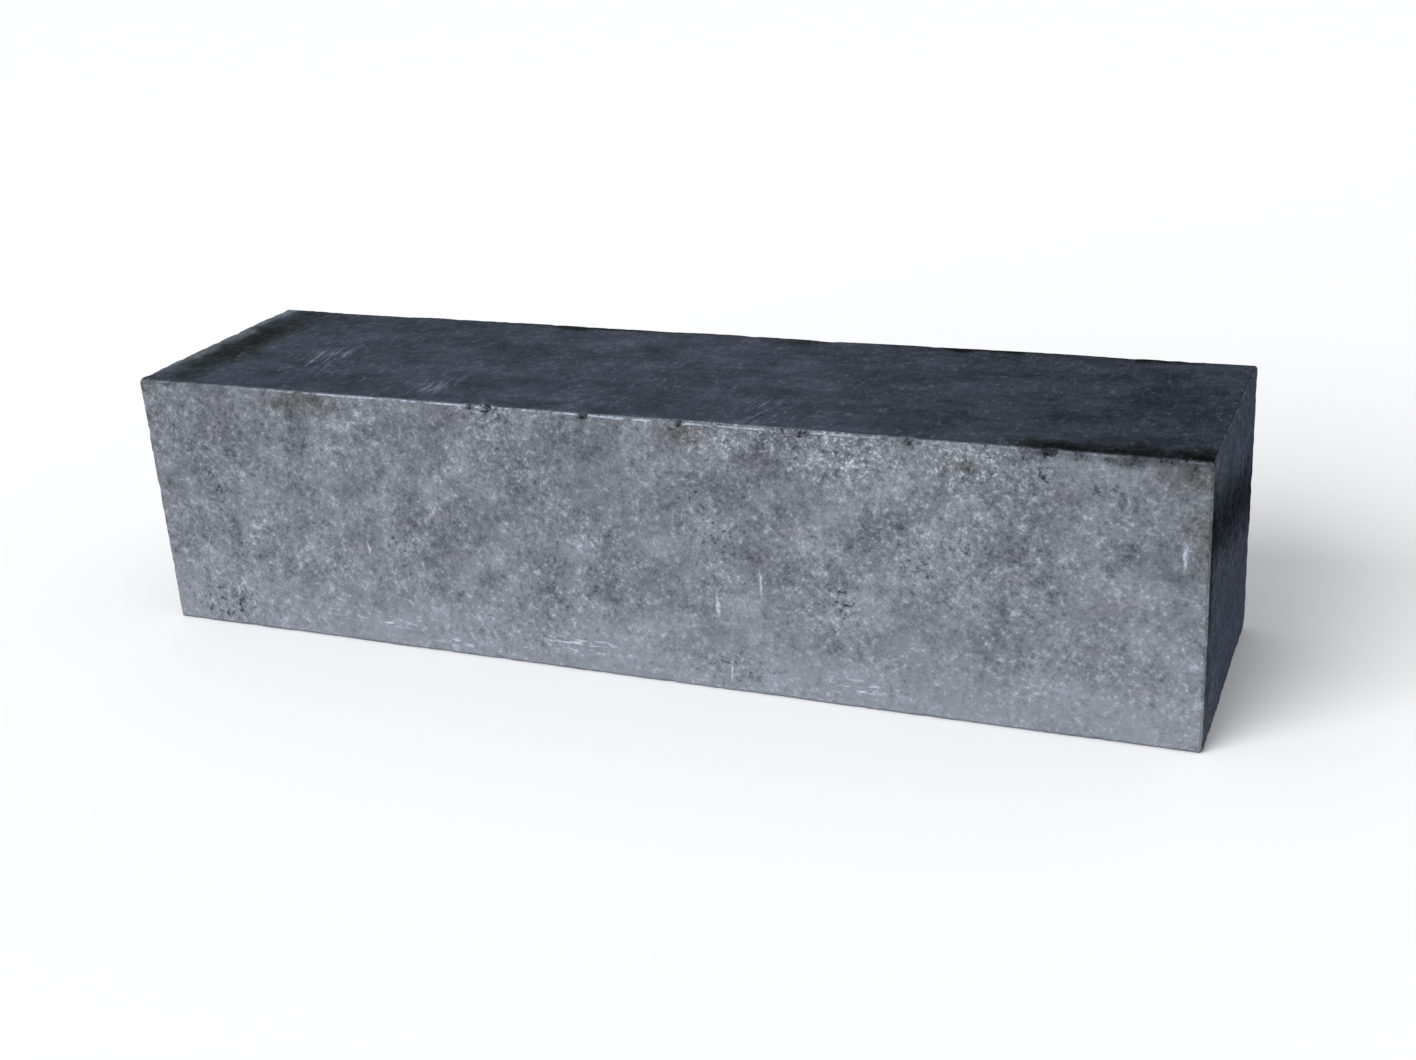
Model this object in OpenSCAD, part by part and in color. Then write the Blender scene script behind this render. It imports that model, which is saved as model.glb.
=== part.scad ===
// Chunky drawing stick of compressed charcoal.
//
// One solid bar, pressed from charcoal powder and binder and cut square.
// It holds no core, sleeve or fastener. Its arrises are rubbed to a narrow
// bevel, and handling has chipped them, because the bar is brittle.
//
// X runs along the stick, -Y is the front and +Z is up. The origin is at
// the middle of the face that the stick lies on. All sizes are millimetres.

/* [Stick] */
// Length of the stick, end to end
stick_l = 80; // [50:1:120]
// Width of the section, front to back
stick_w = 20; // [12:0.5:30]
// Height of the section
stick_h = 20; // [12:0.5:30]

/* [Rubbed arrises] */
// Leg of the bevel along the four long arrises
long_bevel = 0.25; // [0.1:0.05:0.6]
// Leg of the bevel round the two ends
end_bevel = 0.2; // [0.1:0.05:0.6]

/* [Long flakes] */
// Length of the rubbed stretch on the front top arris
rub_l = 34; // [10:1:40]
// Depth of that stretch below the sharp arris
rub_depth = 0.3; // [0.2:0.05:0.6]
// Length of the flake lost from the back top arris
flake_l = 16; // [6:1:24]
// Depth of that flake below the sharp arris
flake_depth = 0.38; // [0.2:0.05:0.8]

/* [Knocked corners] */
// Leg of the facet at the right end's back bottom corner
big_knock = 1.1; // [0.8:0.1:3]
// Leg of the facet at the two corners that are only bruised
small_knock = 0.5; // [0.4:0.1:1.5]

/* [Chips] */
// Radius of the hollow that an average chip leaves
chip_r = 0.5; // [0.4:0.05:1.2]
// Depth of an average chip below the sharp arris
chip_depth = 0.27; // [0.22:0.01:0.4]
// Number of chips on each long arris that is chipped at random
long_chips = 7; // [0:1:14]
// Number of chips on each short arris
short_chips = 1; // [0:1:4]
// Seed that scatters the random chips
chip_seed = 7; // [1:1:99]

/* [Hidden] */

$fn = 48;

// Chips on the front top arris: [share of the length from the left end,
// size next to an average chip].
front_chips = [
    [0.11, 0.9], [0.2, 1.1], [0.36, 1.35], [0.375, 1.6], [0.47, 1.4],
    [0.5, 1.2], [0.56, 1.45], [0.65, 1.35], [0.67, 1.6], [0.74, 1.25],
    [0.76, 1.5], [0.875, 1.5], [0.94, 1]
];
// Where the middles of the long flakes lie, as a share of the length.
rub_at = 0.6;
flake_at = 0.115;
// A flake's cutter is this many times as broad as it is deep, so it clears
// both faces beside the arris, and its long flat arc has this many facets.
flake_breadth = 4;
flake_fn = 96;
// Random chips stay this share of an arris clear of its ends, and this share
// of their own stretch of it clear of each other.
chip_clear = 0.04;
chip_gap = 0.1;
// Smallest and largest random chip, next to an average one.
least_chip = 0.85;
most_chip = 1.2;
// Steps between the seeds of the chips' sizes, and of the two ends' chips.
size_seed = 100;
end_seed = 10;
// Angle between a cube's diagonal and its upright edge.
corner_tilt = acos(1 / sqrt(3));
// Longer than anything that a cut has to clear.
beyond = stick_l + stick_w + stick_h;

// The profile of one view of the stick: a rectangle with bevelled corners.
module bevelled(a, b, leg) {
    x = a / 2;
    y = b / 2;
    polygon([
        [leg - x, -y], [x - leg, -y], [x, leg - y], [x, y - leg],
        [x - leg, y], [leg - x, y], [-x, y - leg], [-x, leg - y]
    ]);
}

// The bar with every arris bevelled, its middle at the origin.
module bevelled_bar() {
    intersection() {
        rotate([90, 0, 90])
            linear_extrude(stick_l, center = true)
                bevelled(stick_w, stick_h, long_bevel);
        rotate([90, 0, 0])
            linear_extrude(stick_w, center = true)
                bevelled(stick_l, stick_h, end_bevel);
        linear_extrude(stick_h, center = true)
            bevelled(stick_l, stick_w, end_bevel);
    }
}

// Turns its children so that their Z axis points out of an arris, half way
// between the arris's two faces, with the arris along their X axis.
// arris is 0 to 3, clockwise from the front top, seen from the right end.
module on_long_arris(arris, along) {
    side = arris == 0 || arris == 3 ? -1 : 1;
    level = arris < 2 ? 1 : -1;
    translate([along, side * stick_w / 2, level * stick_h / 2])
        rotate([level > 0 ? -45 * side : -135 * side, 0, 0])
            children();
}

// The same for a short arris of the end at end = -1 or 1. arris is 0 top,
// 1 back, 2 bottom and 3 front, and along runs from the arris's middle.
module on_short_arris(end, arris, along) {
    half = arris % 2 == 0 ? stick_h / 2 : stick_w / 2;
    rotate([-90 * arris, 0, 0])
        translate([end * stick_l / 2, along, half])
            rotate([0, 45 * end, 0])
                rotate([0, 0, 90])
                    children();
}

// The hollow of one chip, size times an average one.
module chip(size) {
    translate([0, 0, size * (chip_r - chip_depth)])
        sphere(size * chip_r);
}

// A long shallow flake that thins out to nothing at both ends.
module flake(length, depth) {
    r = (length * length / 4 + depth * depth) / (2 * depth);
    translate([0, 0, r - depth])
        rotate([90, 0, 0])
            cylinder(h = flake_breadth * depth, r = r, center = true, $fn = flake_fn);
}

// The random chips' places along an arris and their sizes.
function chip_places(length, count, seed) =
    let (
        clear = 0.5 - chip_clear,
        step = 2 * clear / max(count, 1),
        slip = rands(chip_gap, 1 - chip_gap, max(count, 1), seed),
        size = rands(least_chip, most_chip, max(count, 1), seed + size_seed)
    )
    [for (i = [0 : 1 : count - 1])
        [length * (-clear + step * (i + slip[i])), size[i]]];

// Chips and flakes along the four long arrises.
module long_arris_damage() {
    for (c = front_chips)
        on_long_arris(0, stick_l * (c[0] - 0.5)) chip(c[1]);
    for (arris = [1 : 3])
        for (c = chip_places(stick_l, long_chips, chip_seed + arris))
            on_long_arris(arris, c[0]) chip(c[1]);
    on_long_arris(0, stick_l * (rub_at - 0.5)) flake(rub_l, rub_depth);
    on_long_arris(1, stick_l * (flake_at - 0.5)) flake(flake_l, flake_depth);
}

// Chips along the four short arrises of each end.
module short_arris_damage() {
    for (end = [-1, 1])
        for (arris = [0 : 3]) {
            length = arris % 2 == 0 ? stick_w : stick_h;
            seed = chip_seed + end_seed * (end + 2) + arris;
            for (c = chip_places(length, short_chips, seed))
                on_short_arris(end, arris, c[0]) chip(c[1]);
        }
}

// What a knock takes off the corner in direction at = [x, y, z], each -1 or
// 1: everything beyond a plane that crosses its three arrises at leg.
module knock(at, leg) {
    translate([at.x * stick_l / 2, at.y * stick_w / 2, at.z * stick_h / 2])
        rotate([0, at.z > 0 ? corner_tilt : 180 - corner_tilt, atan2(at.y, at.x)])
            translate([0, 0, beyond / 2 - leg / sqrt(3)])
                cube(beyond, center = true);
}

// The whole stick, lying on its bottom face.
module charcoal_stick() {
    color("#6b7079")
        translate([0, 0, stick_h / 2])
            difference() {
                bevelled_bar();
                long_arris_damage();
                short_arris_damage();
                knock([1, 1, -1], big_knock);
                knock([-1, -1, 1], small_knock);
                knock([1, -1, -1], small_knock);
            }
}

charcoal_stick();
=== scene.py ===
import math

import bpy
from mathutils import Matrix, Vector


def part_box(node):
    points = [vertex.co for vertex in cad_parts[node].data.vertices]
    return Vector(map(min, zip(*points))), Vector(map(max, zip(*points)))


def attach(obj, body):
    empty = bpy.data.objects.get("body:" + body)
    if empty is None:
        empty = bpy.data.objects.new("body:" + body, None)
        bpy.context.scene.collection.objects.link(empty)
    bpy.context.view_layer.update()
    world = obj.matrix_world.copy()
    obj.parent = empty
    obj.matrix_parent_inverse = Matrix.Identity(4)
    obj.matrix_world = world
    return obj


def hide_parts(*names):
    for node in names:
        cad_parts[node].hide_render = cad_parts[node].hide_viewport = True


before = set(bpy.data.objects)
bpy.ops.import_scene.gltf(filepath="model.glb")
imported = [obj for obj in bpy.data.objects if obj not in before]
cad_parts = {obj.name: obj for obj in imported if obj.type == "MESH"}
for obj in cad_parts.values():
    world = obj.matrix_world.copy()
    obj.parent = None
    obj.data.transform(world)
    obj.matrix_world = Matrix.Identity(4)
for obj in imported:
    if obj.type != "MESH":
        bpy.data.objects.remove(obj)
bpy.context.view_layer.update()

MM = 0.001

# ---------------------------------------------------------------------------
# Camera. The stick lies across the view, seen a little from above and from
# the right, through a lens slightly rolled to the left.
# ---------------------------------------------------------------------------
low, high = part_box("charcoal_stick")
stick_foot = Vector(((low.x + high.x) / 2, (low.y + high.y) / 2, low.z))
camera_place = stick_foot + Vector((53.4, -116.0, 59.7)) * MM
camera_turn = math.radians(23.84)
camera_tilt = math.radians(22.26)
camera_roll = math.radians(-3.72)

lens = bpy.data.cameras.new("camera")
lens.sensor_width = 36
lens.lens = 46.7
lens.clip_start = 5 * MM
camera = bpy.data.objects.new("camera", lens)
camera.matrix_world = (
    Matrix.Translation(camera_place)
    @ Matrix.Rotation(camera_turn, 4, "Z")
    @ Matrix.Rotation(math.pi / 2 - camera_tilt, 4, "X")
    @ Matrix.Rotation(camera_roll, 4, "Z")
)
bpy.context.scene.collection.objects.link(camera)
bpy.context.scene.camera = camera
bpy.context.scene.view_settings.view_transform = "Standard"

# ---------------------------------------------------------------------------
# Studio floor. A sheet of matt white board, so large that its edge lies far
# behind the stick from every side.
# ---------------------------------------------------------------------------
floor_half = 30.0


def colour(hex_code):
    """Turns an sRGB hex colour into the linear colour that a shader takes."""
    parts = [int(hex_code[i : i + 2], 16) / 255 for i in (1, 3, 5)]
    linear = [p / 12.92 if p <= 0.04045 else ((p + 0.055) / 1.055) ** 2.4 for p in parts]
    return (*linear, 1.0)


def add(tree, kind, *ordered, **named):
    """Adds a node and returns its first output in use.

    The inputs in use are filled in their order, or by their names. A socket
    given as a value is linked. Any other name is a setting of the node.
    """
    made = tree.nodes.new(kind)
    for name, value in named.items():
        if name not in made.inputs:
            setattr(made, name, value)
    in_use = [s for s in made.inputs if s.enabled]
    by_name = {s.name: s for s in reversed(in_use)}
    given = list(zip(in_use, ordered))
    given += [(by_name[name], value) for name, value in named.items() if name in by_name]
    for socket, value in given:
        if isinstance(value, bpy.types.NodeSocket):
            tree.links.new(value, socket)
        elif value is not None:
            socket.default_value = value
    outputs = [s for s in made.outputs if s.enabled]
    return outputs[0] if outputs else made


def new_material(name):
    """An empty material, with its tree ready for nodes."""
    material = bpy.data.materials.new(name)
    material.use_nodes = True
    material.node_tree.nodes.clear()
    return material


# White board: painted matt, so the eye sees a plain white without gloss.
board = new_material("white board")
board_paint = add(
    board.node_tree,
    "ShaderNodeBsdfPrincipled",
    Roughness=0.95,
    **{"Base Color": colour("#fafafa"), "Specular IOR Level": 0.2},
)
add(board.node_tree, "ShaderNodeOutputMaterial", Surface=board_paint)

corners = [(-floor_half, -floor_half), (floor_half, -floor_half), (floor_half, floor_half)]
corners.append((-floor_half, floor_half))
floor_mesh = bpy.data.meshes.new("floor")
floor_mesh.from_pydata([(x, y, low.z) for x, y in corners], [], [(0, 1, 2, 3)])
floor_mesh.materials.append(board)
floor = bpy.data.objects.new("floor", floor_mesh)
bpy.context.scene.collection.objects.link(floor)

# ---------------------------------------------------------------------------
# Studio light. One very broad softbox stands low at the front left, and a
# pale room fills in the rest evenly.
# ---------------------------------------------------------------------------
softbox_turn = math.radians(-28)
softbox_height = math.radians(27)
softbox_spread = math.radians(50)
softbox_strength = 3.6
room_strength = 0.56

softbox = bpy.data.lights.new("softbox", "SUN")
softbox.energy = softbox_strength
softbox.angle = softbox_spread
softbox_object = bpy.data.objects.new("softbox", softbox)
softbox_object.matrix_world = (
    Matrix.Rotation(softbox_turn, 4, "Z") @ Matrix.Rotation(math.pi / 2 - softbox_height, 4, "X")
)
bpy.context.scene.collection.objects.link(softbox_object)

room = bpy.data.worlds.new("room")
room.use_nodes = True
room.node_tree.nodes.clear()
room_light = add(room.node_tree, "ShaderNodeBackground", colour("#fafbff"), room_strength)
add(room.node_tree, "ShaderNodeOutputWorld", Surface=room_light)
bpy.context.scene.world = room

# ---------------------------------------------------------------------------
# The stick: one solid bar of compressed charcoal, powder and binder pressed
# into a slab and sawn square. The saw left the front and the back open and
# pale with dust. The pressed top, bottom and ends stayed dense and dark, and
# are painted darker still with shade, bluish on the ends, as faces turned
# from the light.
# ---------------------------------------------------------------------------
length, width, height = high - low
middle = (low + high) / 2

# The lattice has about this spacing, and a band beside every arris is finer:
# edge_lattice of it is squeezed into edge_band.
lattice = 0.27 * MM
edge_lattice = 2.5 * MM
edge_band = 1.0 * MM

# The sizes from here down to the marks are in plain millimetres. Rubbing has
# taken no more than rubbed_off off any arris. What is lost beyond that counts
# as broken: just so at the first of these losses, and fully at the second.
rubbed_off = 0.3
broken_losses = (0.01, 0.04)

# How squarely a surface has to face the front or back to begin to look sawn,
# and to look fully so. Then the same for facing an end.
sawn_facing = (0.25, 0.7)
end_facing = (0.5, 0.85)

# The grain lies askew to every face, so no face runs along its layers.
grain_turn = (0.5, 0.8, 0.3)

# Relief, all of it cut inwards from the clean shape.
grain_size, grain_depth = 1.1, 0.07
pit_spacing, pit_depth = 1.5, 0.16
crazing_size, crazing_depth = 0.8, 0.05
drag_size, drag_depth = 0.8, 0.035
swell_size, swell_depth = 9.0, 0.06
crumble_size, crumble_depth, crumble_reach = 1.3, 0.14, 0.9
break_size, break_depth = 0.5, 0.12

# A pit's rim and floor, as shares of the spacing, and the share of places
# that have kept their grain.
pit_rim, pit_floor = 0.26, 0.08
kept_grains = 0.62

# Marks, each as its middle and its reach both ways, in millimetres from the
# bottom of the left end. On the front they are [along, up], on the top
# [along, deep], and on the right end [deep, up].
soot_spots = [
    (5, 2, 5, 2.4), (6, 11, 1.6, 1.6), (21.5, 9, 1.8, 1.5), (45.5, 14, 1.6, 1.6),
    (47, 12.3, 2.6, 1.6), (48, 2, 4.5, 2), (56, 8, 2, 2), (61, 10.5, 1.8, 1.6),
    (64.5, 13, 1.9, 1.9), (73.5, 17.5, 1.4, 1.4), (73, 20, 9, 1.1),
]
# Where dust and painted glints crowd on the sawn faces.
dust_and_glint_spots = [(49, 19.8, 8, 3), (57, 19, 8, 4), (65, 18.7, 7, 3), (30.5, 19.6, 2.2, 1.4)]
stain_spots = [
    (14, 19.2, 5.5, 1.6), (1.2, 19.8, 2.4, 1.1), (45, 19, 3, 1.4), (64.6, 18.5, 1.7, 0.8),
    (78.5, 18.8, 3, 2), (79.5, 15, 1.4, 4),
]
dash_spots = [(19, 2, 5.5, 0.6), (25.5, 1, 3, 0.5), (36, 2.2, 5, 1.2), (57, 1.6, 4, 1)]
tick_spots = [
    (50.2, 8.6, 0.2, 1.5), (46.9, 6.6, 0.2, 1.4), (47.7, 1.5, 0.18, 0.9), (18.8, 8, 0.18, 1.1),
    (78.4, 13.5, 0.2, 1.2),
]
split_spots = [(69.4, 18.4, 0.16, 0.4), (69.6, 18.1, 0.2, 0.35), (69.85, 17.85, 0.35, 0.15)]
# Where the painted highlight along the arrises is strongest.
highlight_spots = [(35, 20, 31, 3), (80.8, 20.8, 1.5, 1.5)]
black_spots = [
    (70, 0.9, 5, 1.6), (75, 0.7, 5, 2.1), (79, 0.8, 4, 2.4), (3.2, 10, 3, 16),
    (30, 19.6, 12, 0.9), (47, 19.3, 3, 1.6), (60, 19.7, 11, 0.8), (73, 19.6, 7, 0.9),
]
scuff_spots = [(12, 8, 3.2, 5), (24, 3.5, 2.8, 4), (49.5, 3.2, 2.8, 3.8)]
end_spots = [
    (2, 15, 8, 3.6), (6, 14.2, 8, 3.6), (10, 13.2, 8, 3.8), (14, 12.2, 8, 3.8),
    (18, 11.2, 8, 3.8), (0.3, 14, 1.9, 8.5),
]
end_dust_spots = [(0.8, 19.3, 1.8, 1.6)]


def near(tree, place, spots, flat):
    """How near a place is to any of the spots: 1 at a middle, 0 past its reach.

    flat is the axis that the spots leave out.
    """
    nearest = 0.0
    for first, second, first_reach, second_reach in spots:
        centre = [first, second]
        centre.insert(flat, 0)
        shrink = [1 / first_reach, 1 / second_reach]
        shrink.insert(flat, 0)
        away = add(tree, "ShaderNodeVectorMath", place, centre, operation="SUBTRACT")
        away = add(tree, "ShaderNodeVectorMath", away, shrink, operation="MULTIPLY")
        away = add(tree, "ShaderNodeVectorMath", away, operation="LENGTH")
        inside = add(tree, "ShaderNodeMapRange", away, 1, 0, 0, 1, interpolation_type="SMOOTHSTEP")
        nearest = add(tree, "ShaderNodeMath", nearest, inside, operation="MAXIMUM")
    return nearest


def add_up(tree, start, parts):
    """Adds each pattern times its strength to start. parts holds such pairs."""
    total = start
    for pattern, strength in parts:
        total = add(tree, "ShaderNodeMath", pattern, strength, total, operation="MULTIPLY_ADD")
    return total


shape = bpy.data.node_groups.new("pressed and sawn bar", "GeometryNodeTree")
entry = {}
for name, kind in (
    ("Clean bar", "NodeSocketObject"),
    ("Size", "NodeSocketVector"),
    ("Middle", "NodeSocketVector"),
    ("Rows along", "NodeSocketInt"),
    ("Rows deep", "NodeSocketInt"),
    ("Rows up", "NodeSocketInt"),
    ("Edge lattice", "NodeSocketFloat"),
    ("Edge band", "NodeSocketFloat"),
    ("Skin", "NodeSocketMaterial"),
):
    entry[name] = shape.interface.new_socket(name, in_out="INPUT", socket_type=kind).identifier
shape.interface.new_socket("Bar", in_out="OUTPUT", socket_type="NodeSocketGeometry")
group_in = add(shape, "NodeGroupInput").node.outputs

# An even lattice, squeezed towards every arris.
cube = add(
    shape,
    "GeometryNodeMeshCube",
    group_in["Size"],
    group_in["Rows along"],
    group_in["Rows deep"],
    group_in["Rows up"],
)
half = add(shape, "ShaderNodeVectorMath", group_in["Size"], operation="SCALE", Scale=0.5)
even = add(shape, "GeometryNodeInputPosition")
even_out = add(shape, "ShaderNodeVectorMath", even, operation="ABSOLUTE")
even_in = add(shape, "ShaderNodeVectorMath", half, even_out, operation="SUBTRACT")
edge_part = add(shape, "ShaderNodeVectorMath", even_in, group_in["Edge lattice"], operation="MINIMUM")
squeeze = add(shape, "ShaderNodeMath", group_in["Edge band"], group_in["Edge lattice"], operation="DIVIDE")
edge_part = add(shape, "ShaderNodeVectorMath", edge_part, operation="SCALE", Scale=squeeze)
core_part = add(shape, "ShaderNodeVectorMath", even_in, group_in["Edge lattice"], operation="SUBTRACT")
core_part = add(shape, "ShaderNodeVectorMath", core_part, (0, 0, 0), operation="MAXIMUM")
core_size = add(shape, "ShaderNodeVectorMath", half, group_in["Edge band"], operation="SUBTRACT")
core_even = add(shape, "ShaderNodeVectorMath", half, group_in["Edge lattice"], operation="SUBTRACT")
stretch = add(shape, "ShaderNodeVectorMath", core_size, core_even, operation="DIVIDE")
core_part = add(shape, "ShaderNodeVectorMath", core_part, stretch, operation="MULTIPLY")
inset = add(shape, "ShaderNodeVectorMath", edge_part, core_part, operation="ADD")
outset = add(shape, "ShaderNodeVectorMath", half, inset, operation="SUBTRACT")
sides = add(shape, "ShaderNodeVectorMath", even, operation="SIGN")
squeezed = add(shape, "ShaderNodeVectorMath", sides, outset, group_in["Middle"], operation="MULTIPLY_ADD")
block = add(shape, "GeometryNodeSetPosition", cube, Position=squeezed)

# The wrapper: the four long sides unrolled one above the other, and the two
# ends beside them, so that one map covers the bar at one scale.
wrap_gap = 2 * MM
wrap_size = length + width + 3 * wrap_gap
ends_at = length + wrap_gap
wrap = (
    # outward side, the map's x, the map's y, and the strip's corner in the map
    ((0, -1, 0), (1, 0, 0), (0, 0, 1), (0, 0)),
    ((0, 0, 1), (1, 0, 0), (0, 1, 0), (0, height)),
    ((0, 1, 0), (1, 0, 0), (0, 0, -1), (0, height + width)),
    ((0, 0, -1), (1, 0, 0), (0, -1, 0), (0, 2 * height + width)),
    ((1, 0, 0), (0, 1, 0), (0, 0, 1), (ends_at, 0)),
    ((-1, 0, 0), (0, -1, 0), (0, 0, 1), (ends_at, height + wrap_gap)),
)
from_middle = add(shape, "GeometryNodeInputPosition")
from_middle = add(shape, "ShaderNodeVectorMath", from_middle, group_in["Middle"], operation="SUBTRACT")
facing = add(shape, "GeometryNodeInputNormal")
facing = add(shape, "GeometryNodeFieldOnDomain", facing, data_type="FLOAT_VECTOR", domain="FACE")
unrolled = (0, 0, 0)
for side, across, up, corner in wrap:
    on_side = add(shape, "ShaderNodeVectorMath", facing, side, operation="DOT_PRODUCT")
    on_side = add(shape, "ShaderNodeMath", on_side, 0.5, operation="GREATER_THAN")
    start = [corner[i] + wrap_gap for i in (0, 1)]
    for i, direction in enumerate((across, up)):
        start[i] += abs(Vector(direction).dot((high - low) / 2))
    right = add(shape, "ShaderNodeVectorMath", from_middle, across, operation="DOT_PRODUCT")
    right = add(shape, "ShaderNodeMath", right, start[0], operation="ADD")
    upward = add(shape, "ShaderNodeVectorMath", from_middle, up, operation="DOT_PRODUCT")
    upward = add(shape, "ShaderNodeMath", upward, start[1], operation="ADD")
    on_map = add(shape, "ShaderNodeCombineXYZ", right, upward)
    on_map = add(shape, "ShaderNodeVectorMath", on_map, operation="SCALE", Scale=on_side)
    unrolled = add(shape, "ShaderNodeVectorMath", unrolled, on_map, operation="ADD")
unrolled = add(shape, "ShaderNodeVectorMath", unrolled, operation="SCALE", Scale=1 / wrap_size)
block = add(
    shape,
    "GeometryNodeStoreNamedAttribute",
    block,
    None,
    "OFBake",
    unrolled,
    data_type="FLOAT2",
    domain="CORNER",
)

# How far each point lies from the nearest arris, in millimetres.
off_faces = add(shape, "ShaderNodeVectorMath", from_middle, operation="ABSOLUTE")
off_faces = add(shape, "ShaderNodeVectorMath", half, off_faces, operation="SUBTRACT")
off_faces = add(shape, "ShaderNodeVectorMath", off_faces, operation="SCALE", Scale=1 / MM)
off = add(shape, "ShaderNodeSeparateXYZ", off_faces).node.outputs
off_least = add(shape, "ShaderNodeMath", off["X"], off["Y"], operation="MINIMUM")
off_most = add(shape, "ShaderNodeMath", off["X"], off["Y"], operation="MAXIMUM")
off_arris = add(shape, "ShaderNodeMath", off_least, off["Z"], operation="MAXIMUM")
off_arris = add(shape, "ShaderNodeMath", off_arris, off_most, operation="MINIMUM")
block = add(shape, "GeometryNodeStoreNamedAttribute", block, None, "off_arris", off_arris)

# The clean bar carries the rubbed arrises, chips, flakes and knocked corners:
# the lattice is laid onto it, and remembers how much was lost there.
clean = add(shape, "GeometryNodeObjectInfo", group_in["Clean bar"]).node.outputs["Geometry"]
onto = add(shape, "GeometryNodeProximity", clean).node.outputs
lost = add(shape, "ShaderNodeMath", onto["Distance"], 1 / MM, operation="MULTIPLY")
bevelled = add(shape, "ShaderNodeMapRange", off_arris, 0, rubbed_off * math.sqrt(2), rubbed_off, 0)
lost = add(shape, "ShaderNodeMath", lost, bevelled, operation="SUBTRACT")
lost = add(shape, "ShaderNodeMapRange", lost, *broken_losses, 0, 1)
block = add(shape, "GeometryNodeStoreNamedAttribute", block, None, "broken", lost)
bar = add(shape, "GeometryNodeSetPosition", block, Position=onto["Position"])

# Places for patterns, in millimetres from the bottom of the left end, and
# which kind of face each point is on: the two kinds fade over on the arrises.
place = add(shape, "GeometryNodeInputPosition")
place = add(shape, "ShaderNodeVectorMath", place, list(low), operation="SUBTRACT")
place = add(shape, "ShaderNodeVectorMath", place, operation="SCALE", Scale=1 / MM)
normal = add(shape, "GeometryNodeInputNormal")
faced = add(shape, "ShaderNodeSeparateXYZ", normal).node.outputs
sawn = add(shape, "ShaderNodeMath", faced["Y"], operation="ABSOLUTE")
sawn = add(shape, "ShaderNodeMapRange", sawn, *sawn_facing, 0, 1, interpolation_type="SMOOTHSTEP")
pressed = add(shape, "ShaderNodeMath", 1.0, sawn, operation="SUBTRACT")
end = add(shape, "ShaderNodeMath", faced["X"], operation="ABSOLUTE")
end = add(shape, "ShaderNodeMapRange", end, *end_facing, 0, 1, interpolation_type="SMOOTHSTEP")
broken = add(shape, "GeometryNodeInputNamedAttribute", "broken", data_type="FLOAT")
arris = add(shape, "GeometryNodeInputNamedAttribute", "off_arris", data_type="FLOAT")

# Open grain on the sawn faces.
turned = add(shape, "ShaderNodeVectorRotate", place, rotation_type="EULER_XYZ", Rotation=grain_turn)
grain = add(shape, "ShaderNodeTexNoise", turned, Scale=1 / grain_size, Detail=2.0, Roughness=0.75)
grain = add(shape, "ShaderNodeMath", grain, sawn, operation="MULTIPLY")
# Pits, where a grain has dropped out of a sawn face.
cell = add(shape, "ShaderNodeTexVoronoi", place, Scale=1 / pit_spacing).node.outputs
pit = add(shape, "ShaderNodeMapRange", cell["Distance"], pit_rim, pit_floor, 0, 1)
lot = add(shape, "ShaderNodeSeparateXYZ", cell["Color"])
lot = add(shape, "ShaderNodeMath", lot, kept_grains, operation="GREATER_THAN")
pit = add(shape, "ShaderNodeMath", pit, lot, operation="MULTIPLY")
pit = add(shape, "ShaderNodeMath", pit, sawn, operation="MULTIPLY")
# Crazed ground under the soot: short ragged ridges.
soot = near(shape, place, soot_spots, flat=1)
crazing = add(
    shape,
    "ShaderNodeTexNoise",
    place,
    Scale=1 / crazing_size,
    Detail=2.0,
    noise_type="RIDGED_MULTIFRACTAL",
)
crazing = add(shape, "ShaderNodeMath", crazing, soot, operation="MULTIPLY")
crazing = add(shape, "ShaderNodeMath", crazing, sawn, operation="MULTIPLY")
# Drag lines along the pressed faces, where the slab slid out of its mould.
drawn_out = add(shape, "ShaderNodeVectorMath", place, (0.1, 1, 1), operation="MULTIPLY")
drag = add(shape, "ShaderNodeTexNoise", drawn_out, Scale=1 / drag_size, Detail=2.0)
drag = add(shape, "ShaderNodeMapRange", drag, 0.4, 0.7, 0, 1)
drag = add(shape, "ShaderNodeMath", drag, pressed, operation="MULTIPLY")
# A slow swell, as no face of a brittle bar is truly flat.
swell = add(shape, "ShaderNodeTexNoise", place, Scale=1 / swell_size)
swell = add(shape, "ShaderNodeMapRange", swell, 0.4, 0.75, 0, 1)
# Crumbled arrises.
crumble = add(shape, "ShaderNodeTexNoise", place, Scale=1 / crumble_size, Detail=3.0)
crumble = add(shape, "ShaderNodeMapRange", crumble, 0.5, 0.9, 0, 1)
by_arris = add(shape, "ShaderNodeMapRange", arris, crumble_reach, 0, 0, 1, interpolation_type="SMOOTHSTEP")
crumble = add(shape, "ShaderNodeMath", crumble, by_arris, operation="MULTIPLY")
# Rough breaks inside the chips and flakes.
rough = add(shape, "ShaderNodeTexNoise", place, Scale=1 / break_size, Detail=2.0)
rough = add(shape, "ShaderNodeMath", rough, broken, operation="MULTIPLY")

depth = add_up(
    shape,
    0.0,
    (
        (grain, grain_depth),
        (pit, pit_depth),
        (crazing, crazing_depth),
        (drag, drag_depth),
        (swell, swell_depth),
        (crumble, crumble_depth),
        (rough, break_depth),
    ),
)
inwards = add(shape, "ShaderNodeMath", depth, -MM, operation="MULTIPLY")
cut = add(shape, "ShaderNodeVectorMath", normal, operation="SCALE", Scale=inwards)
for name, kept in (("sawn", sawn), ("pit", pit), ("end", end)):
    bar = add(shape, "GeometryNodeStoreNamedAttribute", bar, None, name, kept)
bar = add(shape, "GeometryNodeSetPosition", bar, Offset=cut)
bar = add(shape, "GeometryNodeSetShadeSmooth", bar)
bar = add(shape, "GeometryNodeRealizeInstances", bar)
bar = add(shape, "GeometryNodeSetMaterial", bar, None, group_in["Skin"])
add(shape, "NodeGroupOutput", bar)
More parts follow.
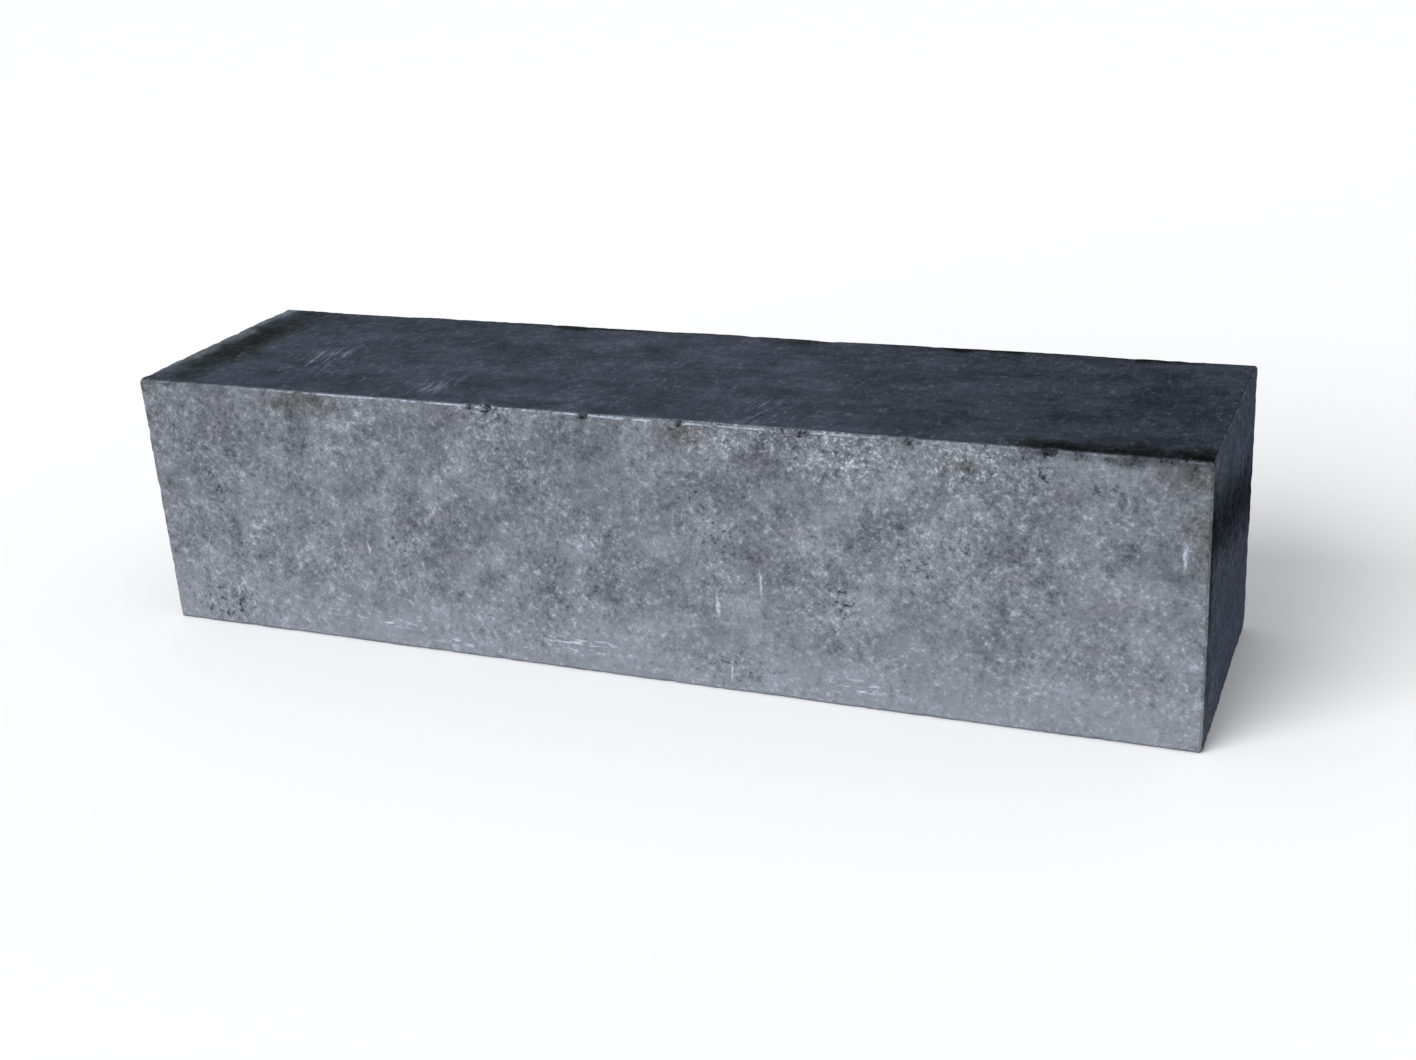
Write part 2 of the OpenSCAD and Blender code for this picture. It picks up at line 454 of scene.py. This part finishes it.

# Compressed charcoal: carbon powder in a little clay binder. Sawing opens a
# mid-grey, dusty grain, and pressing closes it to a dark slate. The pressed
# faces also carry painted shade, bluish on the ends, for being turned from
# the light. Either way the eye sees a dead matt skin without any shine. Real
# powder is finer than a tenth of a millimetre, which would melt into flat
# grey, so the grain is drawn several times as coarse.
# Tones add up as the eye judges them, with 1 for the plain colour, and are
# turned to light at the end. None falls below the darkest one of its face.
eye_to_light = 2.2
darkest_sawn, darkest_pressed = 0.4, 0.3

# Sizes of the patterns in millimetres: the slow ones, and then the grain and
# the powder and painted glints in it.
cloud_size, patch_size, tint_size, lump_size = 4.5, 5.0, 3.0, 2.2
speckle_size, powder_and_glint_size = 0.55, 0.32

# A grain pattern runs from 0 to 1 with 0.5 in its middle. These pairs are
# where each kind of grain begins to show in it, and where it shows fully.
speck_grains, powder_and_glint_grains, pore_grains = (0.57, 0.7), (0.57, 0.68), (0.43, 0.3)
fleck_grains, dash_grains, scuff_grains = (0.58, 0.72), (0.53, 0.63), (0.47, 0.64)

charcoal = new_material("compressed charcoal")
tree = charcoal.node_tree
where = add(tree, "ShaderNodeTexCoord").node.outputs["Object"]
where = add(tree, "ShaderNodeVectorMath", where, list(low), operation="SUBTRACT")
where = add(tree, "ShaderNodeVectorMath", where, operation="SCALE", Scale=1 / MM)
at = add(tree, "ShaderNodeSeparateXYZ", where).node.outputs
askew = add(tree, "ShaderNodeVectorRotate", where, rotation_type="EULER_XYZ", Rotation=grain_turn)
sawn_face = add(tree, "ShaderNodeAttribute", attribute_name="sawn").node.outputs["Fac"]
end_face = add(tree, "ShaderNodeAttribute", attribute_name="end").node.outputs["Fac"]
pit_shade = add(tree, "ShaderNodeAttribute", attribute_name="pit").node.outputs["Fac"]
on_break = add(tree, "ShaderNodeAttribute", attribute_name="broken").node.outputs["Fac"]
from_arris = add(tree, "ShaderNodeAttribute", attribute_name="off_arris").node.outputs["Fac"]

# Marks have ragged outlines: their places are shifted by up to a millimetre.
ragged_size, ragged_shift = 2.5, 3.0
ragged = add(tree, "ShaderNodeTexNoise", where, Scale=1 / ragged_size, Detail=3.0).node.outputs["Color"]
ragged = add(tree, "ShaderNodeVectorMath", ragged, (0.5, 0.5, 0.5), operation="SUBTRACT")
ragged = add(tree, "ShaderNodeVectorMath", ragged, operation="SCALE", Scale=ragged_shift)
ragged = add(tree, "ShaderNodeVectorMath", where, ragged, operation="ADD")
ragged_at = add(tree, "ShaderNodeSeparateXYZ", ragged).node.outputs

# The split and the ticks only waver a little.
waver_size, waver_shift = 0.6, (0.5, 0.5, 0.5)
waver = add(tree, "ShaderNodeTexNoise", askew, Scale=1 / waver_size).node.outputs["Color"]
waver = add(tree, "ShaderNodeVectorMath", waver, (0.5, 0.5, 0.5), operation="SUBTRACT")
wavering = add(tree, "ShaderNodeVectorMath", waver, waver_shift, where, operation="MULTIPLY_ADD")

# The back carries the same kinds of marks the other way round, and has no
# scratches of its own.
on_back = add(tree, "ShaderNodeMath", at["Y"], width / MM / 2, operation="GREATER_THAN")
on_front = add(tree, "ShaderNodeMath", 1.0, on_back, operation="SUBTRACT")
mirror = (-1, 1, 1)
far_end = (length / MM, 0, 0)
other_way = add(tree, "ShaderNodeVectorMath", ragged, mirror, far_end, operation="MULTIPLY_ADD")
marked = add(tree, "ShaderNodeMix", on_back, ragged, other_way, data_type="VECTOR")

# Sawn faces: slow clouds and lumps, then the grain itself, which is coarser
# and more contrasty in some patches than in others. Light bounced up from the
# floor is painted along the face's foot, paler and smoother, where it isn't
# sooty.
soot_dark = near(tree, marked, soot_spots, flat=1)
dust_and_glints = near(tree, marked, dust_and_glint_spots, flat=1)
bounce_top, bounce_full = 7.0, 1.0
floor_bounce = add(
    tree,
    "ShaderNodeMapRange",
    ragged_at["Z"],
    bounce_top,
    bounce_full,
    0,
    1,
    interpolation_type="SMOOTHSTEP",
)
bare = add(tree, "ShaderNodeMath", 1.0, soot_dark, operation="SUBTRACT")
floor_bounce = add(tree, "ShaderNodeMath", floor_bounce, bare, operation="MULTIPLY")

clouds = add(tree, "ShaderNodeTexNoise", askew, Scale=1 / cloud_size, Detail=2.0, Roughness=0.75)
lumps = add(tree, "ShaderNodeTexNoise", askew, Scale=1 / lump_size, Detail=1.0, Roughness=0.9)
grains = add(tree, "ShaderNodeTexNoise", askew, Scale=1 / speckle_size, Detail=2.0, Roughness=1.0)
cloud_tone = add(tree, "ShaderNodeMath", clouds, 0.5, operation="SUBTRACT")
lump_tone = add(tree, "ShaderNodeMath", lumps, 0.5, operation="SUBTRACT")
grain_tone = add(tree, "ShaderNodeMath", grains, 0.5, operation="SUBTRACT")
cloud_gain = add(tree, "ShaderNodeMapRange", floor_bounce, 0, 1, 0.36, 0.12)
lump_gain = add(tree, "ShaderNodeMapRange", floor_bounce, 0, 1, 0.38, 0.14)
patch = add(
    tree,
    "ShaderNodeTexNoise",
    askew,
    Scale=1 / patch_size,
    Detail=2.0,
    noise_dimensions="4D",
    W=3.0,
)
grain_gain = add(tree, "ShaderNodeMapRange", patch, 0.38, 0.62, 0.55, 1.0)
grain_gain = add_up(tree, grain_gain, ((floor_bounce, -0.35), (dust_and_glints, 0.35)))

# The brightest grains are dust caught in the surface and painted glints off
# the sawn grain, thick under the rubbed arris. The darkest are pores, which
# crowd where soot has gathered.
speck = add(tree, "ShaderNodeMapRange", grains, *speck_grains, 0, 1)
powder_and_glints = add(tree, "ShaderNodeTexNoise", askew, Scale=1 / powder_and_glint_size, Detail=1.0, Roughness=1.0)
powder_and_glints = add(tree, "ShaderNodeMapRange", powder_and_glints, *powder_and_glint_grains, 0, 1)
powder_and_glint_gain = add(tree, "ShaderNodeMapRange", dust_and_glints, 0, 0.7, 0, 0.36)
pore = add(tree, "ShaderNodeMapRange", grains, *pore_grains, 0, 1)
pore_gain = add(tree, "ShaderNodeMapRange", soot_dark, 0, 0.8, -0.06, -0.38)

# One short split has opened near the rubbed arris.
split = near(tree, wavering, split_spots, flat=1)
split = add(tree, "ShaderNodeMath", split, on_front, operation="MULTIPLY")

# The black on the top creeps a little way over the arris.
creep_from, creep_to = 18.9, 19.8
black = near(tree, ragged, black_spots, flat=2)
creep = add(tree, "ShaderNodeMapRange", ragged_at["Z"], creep_from, creep_to, 0, 1)
creep = add(tree, "ShaderNodeMath", creep, black, operation="MULTIPLY")

# Saw and table have left short white dashes on the foot, and a few upright
# ticks.
dash_length, dash_width = 1.3, 0.3
dash = add(tree, "ShaderNodeVectorMath", where, (1 / dash_length, 0, 1 / dash_width), operation="MULTIPLY")
dash = add(tree, "ShaderNodeTexNoise", dash, Scale=1.0, Detail=2.0)
dash = add(tree, "ShaderNodeMapRange", dash, *dash_grains, 0, 1)
dash_band = near(tree, where, dash_spots, flat=1)
dash = add(tree, "ShaderNodeMath", dash, dash_band, operation="MULTIPLY")
tick = near(tree, wavering, tick_spots, flat=1)
scratch = add(tree, "ShaderNodeMath", dash, tick, operation="MAXIMUM")
scratch = add(tree, "ShaderNodeMath", scratch, on_front, operation="MULTIPLY")

# Painted shade: the upper half is a little darker than the lower, away from
# the light bounced up from the floor.
upper_shade = add(tree, "ShaderNodeMapRange", at["Z"], height / MM / 2, height / MM, 0, 1)

tone = add_up(
    tree,
    1.0,
    (
        (cloud_tone, cloud_gain),
        (lump_tone, lump_gain),
        (grain_tone, grain_gain),
        (speck, 0.15),
        (powder_and_glints, powder_and_glint_gain),
        (pore, pore_gain),
        (dust_and_glints, 0.05),
        # Pits are painted a little darker, as shade in their hollows.
        (pit_shade, -0.07),
        (split, -0.5),
        (creep, -0.45),
        (floor_bounce, 0.11),
        (upper_shade, -0.07),
        (scratch, 0.5),
    ),
)
tone = add(tree, "ShaderNodeMath", tone, darkest_sawn, operation="MAXIMUM")
tone = add(tree, "ShaderNodeMath", tone, eye_to_light, operation="POWER")

# The grey wanders between a warmer and a cooler one, and handling has left
# brown stains under the arris.
stain_strength = 0.65
tint = add(
    tree,
    "ShaderNodeTexNoise",
    where,
    Scale=1 / tint_size,
    Detail=3.0,
    Roughness=0.8,
    noise_dimensions="4D",
    W=7.0,
)
sawn_colour = add(tree, "ShaderNodeMix", tint, colour("#6a6972"), colour("#626b70"), data_type="RGBA")
stain = near(tree, marked, stain_spots, flat=1)
stain = add(tree, "ShaderNodeMath", stain, stain_strength, operation="MULTIPLY")
sawn_colour = add(tree, "ShaderNodeMix", stain, sawn_colour, colour("#4b4a45"), data_type="RGBA")
sawn_colour = add(tree, "ShaderNodeVectorMath", sawn_colour, operation="SCALE", Scale=tone)

# Pressed faces: a close grain drawn out across the slab, soft clouds smeared
# along it, and pale flecks of dust.
close_size, smear_size = 0.45, 2.6
across_slab, along_slab = (1, 0.5, 1), (0.5, 0.8, 1)
drawn = add(tree, "ShaderNodeVectorMath", where, across_slab, operation="MULTIPLY")
close_grain = add(tree, "ShaderNodeTexNoise", drawn, Scale=1 / close_size, Detail=2.0, Roughness=1.0)
close_tone = add(tree, "ShaderNodeMath", close_grain, 0.5, operation="SUBTRACT")
fleck = add(tree, "ShaderNodeMapRange", close_grain, *fleck_grains, 0, 1)
smeared = add(tree, "ShaderNodeVectorMath", where, along_slab, operation="MULTIPLY")
smears = add(tree, "ShaderNodeTexNoise", smeared, Scale=1 / smear_size, Detail=3.0, Roughness=0.75)
smear_tone = add(tree, "ShaderNodeMath", smears, 0.5, operation="SUBTRACT")
# The top darkens towards the right end.
fade_from = 48
fade = add(tree, "ShaderNodeMapRange", at["X"], fade_from, length / MM, 0, 1)
# A soft pale rim runs along the top's left end, and only starts some way
# behind the front.
rim_from, rim_to, rim_strength = 1.8, 0.6, 0.5
rim_begins, rim_whole = 1.5, 5
on_top = add(tree, "ShaderNodeMath", at["Z"], height / MM / 2, operation="GREATER_THAN")
on_top = add(tree, "ShaderNodeMath", on_top, end_face, operation="SUBTRACT", use_clamp=True)
rim = add(
    tree,
    "ShaderNodeMapRange",
    ragged_at["X"],
    rim_from,
    rim_to,
    0,
    rim_strength,
    interpolation_type="SMOOTHSTEP",
)
rim_start = add(tree, "ShaderNodeMapRange", at["Y"], rim_begins, rim_whole, 0, 1)
rim = add(tree, "ShaderNodeMath", rim, rim_start, operation="MULTIPLY")
rim = add(tree, "ShaderNodeMath", rim, on_top, operation="MULTIPLY")
# Scuffs: bundles of pale lines that cross the top at a slant, which leans
# the other way in the last bundle than in the first.
scuff_width, scuff_length = 0.35, 4.0
first_bundle, last_bundle = 12, 50
first_lean, last_lean = 0.18, -0.09
lean = add(tree, "ShaderNodeMapRange", at["X"], first_bundle, last_bundle, first_lean, last_lean)
slant = add(tree, "ShaderNodeMath", lean, at["Y"], at["X"], operation="MULTIPLY_ADD")
slant = add(tree, "ShaderNodeCombineXYZ", slant, at["Y"])
lines = (1 / scuff_width, 1 / scuff_length, 0)
slant = add(tree, "ShaderNodeVectorMath", slant, lines, operation="MULTIPLY")
scuff = add(tree, "ShaderNodeTexNoise", slant, Scale=1.0, Detail=2.0, Roughness=0.7)
scuff = add(tree, "ShaderNodeMapRange", scuff, *scuff_grains, 0, 1)
scuff = add(tree, "ShaderNodeMath", scuff, grains, operation="MULTIPLY")
scuff_spot = near(tree, ragged, scuff_spots, flat=2)
scuff = add(tree, "ShaderNodeMath", scuff, scuff_spot, operation="MULTIPLY")
scuff = add(tree, "ShaderNodeMath", scuff, on_top, operation="MULTIPLY")

pressed_and_shaded_tone = add_up(
    tree,
    1.0,
    (
        (close_tone, 0.4),
        (smear_tone, 0.8),
        (grain_tone, 0.35),
        (fleck, 0.25),
        (fade, -0.2),
        (black, -0.38),
        (rim, 1.0),
        (scuff, 1.4),
    ),
)

# The ends are cut across the slab and combed upright: a black band crosses
# the right one, and another runs down beside its front arris.
comb_width, comb_length = 0.6, 4.0
end_skin = 0.4
combed = (0, 1 / comb_width, 1 / comb_length)
combed = add(tree, "ShaderNodeVectorMath", where, combed, operation="MULTIPLY")
combed = add(tree, "ShaderNodeTexNoise", combed, Scale=1.0, Detail=3.0, Roughness=0.7)
combed = add(tree, "ShaderNodeMath", combed, 0.5, operation="SUBTRACT")
end_dark = near(tree, ragged, end_spots, flat=0)
on_end = add(tree, "ShaderNodeMath", at["X"], length / MM - end_skin, operation="GREATER_THAN")
end_dark = add(tree, "ShaderNodeMath", end_dark, on_end, operation="MULTIPLY")
end_dust = near(tree, ragged, end_dust_spots, flat=0)
# Light bounced up from the floor is painted along the end's foot too.
end_bounce = add(tree, "ShaderNodeMapRange", at["Z"], bounce_top, bounce_full, 0, 1)

end_tone = add_up(
    tree,
    1.0,
    (
        (combed, 0.3),
        (close_tone, 1.1),
        (smear_tone, 0.36),
        (end_dark, -0.46),
        (end_dust, 0.5),
        (end_bounce, 0.14),
    ),
)
pressed_and_shaded_tone = add(tree, "ShaderNodeMix", end_face, pressed_and_shaded_tone, end_tone)
pressed_and_shaded_tone = add(tree, "ShaderNodeMath", pressed_and_shaded_tone, darkest_pressed, operation="MAXIMUM")
pressed_and_shaded_tone = add(tree, "ShaderNodeMath", pressed_and_shaded_tone, eye_to_light, operation="POWER")
# The pressed colour holds painted shade: the top and the ends darker, the ends bluish.
pressed_and_shaded_colour = colour("#41434c")
for share, other in (
    (tint, "#3a434d"),
    (end_face, "#434954"),
    (rim, "#3c4543"),
    (black, "#3d4242"),
):
    pressed_and_shaded_colour = add(tree, "ShaderNodeMix", share, pressed_and_shaded_colour, colour(other), data_type="RGBA")
pressed_and_shaded_colour = add(
    tree, "ShaderNodeVectorMath", pressed_and_shaded_colour, operation="SCALE", Scale=pressed_and_shaded_tone
)
skin = add(tree, "ShaderNodeMix", sawn_face, pressed_and_shaded_colour, sawn_colour, data_type="RGBA")

# A pale highlight is painted along the arrises in broken stretches, mostly
# on top, and the breaks in them are sooty black.
highlight_from, highlight_full = 0.14, 0.05
stretch_size = 1.2
arris_highlight = add(
    tree,
    "ShaderNodeMapRange",
    from_arris,
    highlight_from,
    highlight_full,
    0,
    1,
    interpolation_type="SMOOTHSTEP",
)
stretches = add(tree, "ShaderNodeTexNoise", where, Scale=1 / stretch_size, Detail=4.0, Roughness=0.8)
stretches = add(tree, "ShaderNodeMapRange", stretches, 0.46, 0.58, 0, 1)
arris_highlight = add(tree, "ShaderNodeMath", arris_highlight, stretches, operation="MULTIPLY")
highlight_reach = near(tree, where, highlight_spots, flat=1)
highlight_reach = add(tree, "ShaderNodeMapRange", highlight_reach, 0, 0.4, 0.2, 1)
arris_highlight = add(tree, "ShaderNodeMath", arris_highlight, highlight_reach, operation="MULTIPLY")
skin = add(tree, "ShaderNodeMix", arris_highlight, skin, colour("#96a1b1"), data_type="RGBA")
patchy = add(tree, "ShaderNodeMapRange", grains, 0.45, 0.6, 0.95, 0.5)
on_break = add(tree, "ShaderNodeMath", on_break, patchy, operation="MULTIPLY")
skin = add(tree, "ShaderNodeMix", on_break, skin, colour("#1b1c1f"), data_type="RGBA")

# Carbon's IOR would give a faint sheen, but loose powder scatters all of it,
# so the specular level is nought.
carbon_ior = 1.6
pressed_roughness, sawn_roughness = 0.8, 0.95
bump_height = 0.08 * MM
roughness = add(tree, "ShaderNodeMapRange", sawn_face, 0, 1, pressed_roughness, sawn_roughness)
close_bumps = add(tree, "ShaderNodeMath", close_grain, 0.3, operation="MULTIPLY")
bumps = add(tree, "ShaderNodeMix", sawn_face, close_bumps, grains)
relief = add(tree, "ShaderNodeBump", 0.8, bump_height, Height=bumps)
surface = add(
    tree,
    "ShaderNodeBsdfPrincipled",
    Roughness=roughness,
    IOR=carbon_ior,
    Normal=relief,
    **{"Base Color": skin, "Specular IOR Level": 0.0},
)
add(tree, "ShaderNodeOutputMaterial", Surface=surface)

# Run the tree, and keep its result as one plain mesh.
maker = bpy.data.objects.new("bar maker", bpy.data.meshes.new("bar maker"))
bpy.context.scene.collection.objects.link(maker)
making = maker.modifiers.new("bar", "NODES")
making.node_group = shape
for name, value in (
    ("Clean bar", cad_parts["charcoal_stick"]),
    ("Size", high - low),
    ("Middle", middle),
    ("Rows along", round(length / lattice) + 1),
    ("Rows deep", round(width / lattice) + 1),
    ("Rows up", round(height / lattice) + 1),
    ("Edge lattice", edge_lattice),
    ("Edge band", edge_band),
    ("Skin", charcoal),
):
    making[entry[name]] = value
made = maker.evaluated_get(bpy.context.evaluated_depsgraph_get())
stick_mesh = bpy.data.meshes.new_from_object(made)
bpy.data.objects.remove(maker)
stick = bpy.data.objects.new("charcoal_bar", stick_mesh)
bpy.context.scene.collection.objects.link(stick)
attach(stick, "root")
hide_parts("charcoal_stick")
